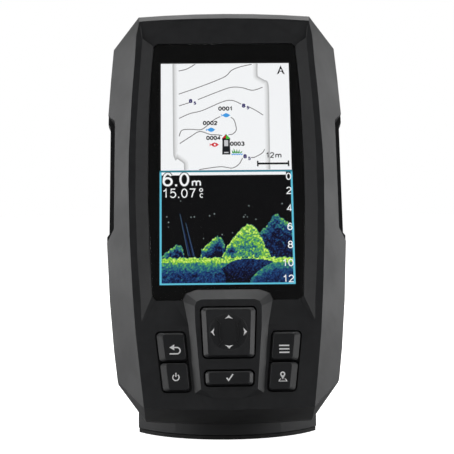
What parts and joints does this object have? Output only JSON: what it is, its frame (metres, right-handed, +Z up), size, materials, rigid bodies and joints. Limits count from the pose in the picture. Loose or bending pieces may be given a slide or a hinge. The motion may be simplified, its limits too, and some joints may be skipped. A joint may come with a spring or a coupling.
{
  "type": "fish finder",
  "caption": "Portrait fish finder: black case with a tall colour display, a keypad with a centre rocker, and a tilt and swivel mount with a quick-release cradle.",
  "frame": {"origin": "centre of the mount's underside, on the surface it stands on", "axes": "+Z up, the screen faces -Y and leans back 20 degrees, +X to the right of the person reading it"},
  "size_m": [0.0964, 0.1132, 0.1724],
  "materials": {
    "case_plastic": "fine matte texture",
    "key_plastic": "smooth matte",
    "lens_glass": "gloss",
    "screen": "lit display",
    "silicone": "matte",
    "rubber": "matte",
    "circuit_board": "solder mask",
    "sheet_metal": "plated",
    "steel": "satin",
    "ceramic": "satin",
    "contact_gold": "plated"
  },
  "bodies": {
    "base": {"base_pad": "rubber", "base_plate": "case_plastic", "swivel_bolt": "steel", "swivel_washer": "steel", "swivel_nut": "steel"},
    "turret": {"swivel_turret": "case_plastic", "tilt_bolt": "steel", "tilt_washer_left": "rubber", "tilt_washer_right": "rubber"},
    "tilt_knob": {"tilt_knob": "case_plastic"},
    "head": {"front_bezel": "case_plastic", "rear_housing": "case_plastic", "case_gasket": "rubber", "case_screw_1": "steel", "case_screw_2": "steel", "case_screw_3": "steel", "case_screw_4": "steel", "case_screw_5": "steel", "case_screw_6": "steel", "display_lens": "lens_glass", "lcd_panel": "screen", "backlight_tray": "sheet_metal", "keypad_membrane": "silicone", "main_board": "circuit_board", "shield_can": "sheet_metal", "gps_antenna": "ceramic", "beeper": "rubber", "board_screw_1": "steel", "board_screw_2": "steel", "board_screw_3": "steel", "board_screw_4": "steel", "power_socket": "case_plastic", "power_contacts": "contact_gold", "transducer_socket": "case_plastic", "transducer_contacts": "contact_gold", "cradle": "case_plastic", "release_pin": "steel", "release_spring": "steel"},
    "release_lever": {"release_lever": "case_plastic"},
    "back_key": {"back_key": "key_plastic"},
    "power_key": {"power_key": "key_plastic"},
    "menu_key": {"menu_key": "key_plastic"},
    "mark_key": {"mark_key": "key_plastic"},
    "enter_key": {"enter_key": "key_plastic"},
    "rocker_pivot": {"rocker_pivot": "silicone"},
    "rocker_key": {"rocker_key": "key_plastic"}
  },
  "joints": [
    {"name": "swivel", "type": "hinge", "parent": "base", "child": "turret", "pos_m": [0, 0, 0.013], "axis": [0, 0, 1], "range_deg": [-90, 90]},
    {"name": "tilt", "type": "hinge", "parent": "turret", "child": "head", "pos_m": [0, 0.008, 0.046], "axis": [1, 0, 0], "range_deg": [-30, 5]},
    {"name": "tilt_knob_turn", "type": "hinge", "parent": "turret", "child": "tilt_knob", "pos_m": [0.02, 0.008, 0.046], "axis": [1, 0, 0], "range_deg": [0, 270]},
    {"name": "release_press", "type": "hinge", "parent": "head", "child": "release_lever", "pos_m": [0, 0.01129, 0.06907], "axis": [-1, 0, 0], "range_deg": [0, 8], "stiffness_Nm_per_rad": 0.15, "springref_deg": -8.59},
    {"name": "back_key_press", "type": "slide", "parent": "head", "child": "back_key", "axis": [0, 0.9397, -0.342], "range_m": [0, 0.0006], "stiffness_N_per_m": 800, "springref_m": -0.001},
    {"name": "power_key_press", "type": "slide", "parent": "head", "child": "power_key", "axis": [0, 0.9397, -0.342], "range_m": [0, 0.0006], "stiffness_N_per_m": 800, "springref_m": -0.001},
    {"name": "menu_key_press", "type": "slide", "parent": "head", "child": "menu_key", "axis": [0, 0.9397, -0.342], "range_m": [0, 0.0006], "stiffness_N_per_m": 800, "springref_m": -0.001},
    {"name": "mark_key_press", "type": "slide", "parent": "head", "child": "mark_key", "axis": [0, 0.9397, -0.342], "range_m": [0, 0.0006], "stiffness_N_per_m": 800, "springref_m": -0.001},
    {"name": "enter_key_press", "type": "slide", "parent": "head", "child": "enter_key", "axis": [0, 0.9397, -0.342], "range_m": [0, 0.0006], "stiffness_N_per_m": 800, "springref_m": -0.001},
    {"name": "rocker_up_down", "type": "hinge", "parent": "head", "child": "rocker_pivot", "pos_m": [0, -0.05691, 0.04281], "axis": [1, 0, 0], "range_deg": [-1.5, 1.5], "stiffness_Nm_per_rad": 0.25},
    {"name": "rocker_left_right", "type": "hinge", "parent": "rocker_pivot", "child": "rocker_key", "pos_m": [0, -0.05691, 0.04281], "axis": [0, 0.342, 0.9397], "range_deg": [-1.5, 1.5], "stiffness_Nm_per_rad": 0.25}
  ]
}
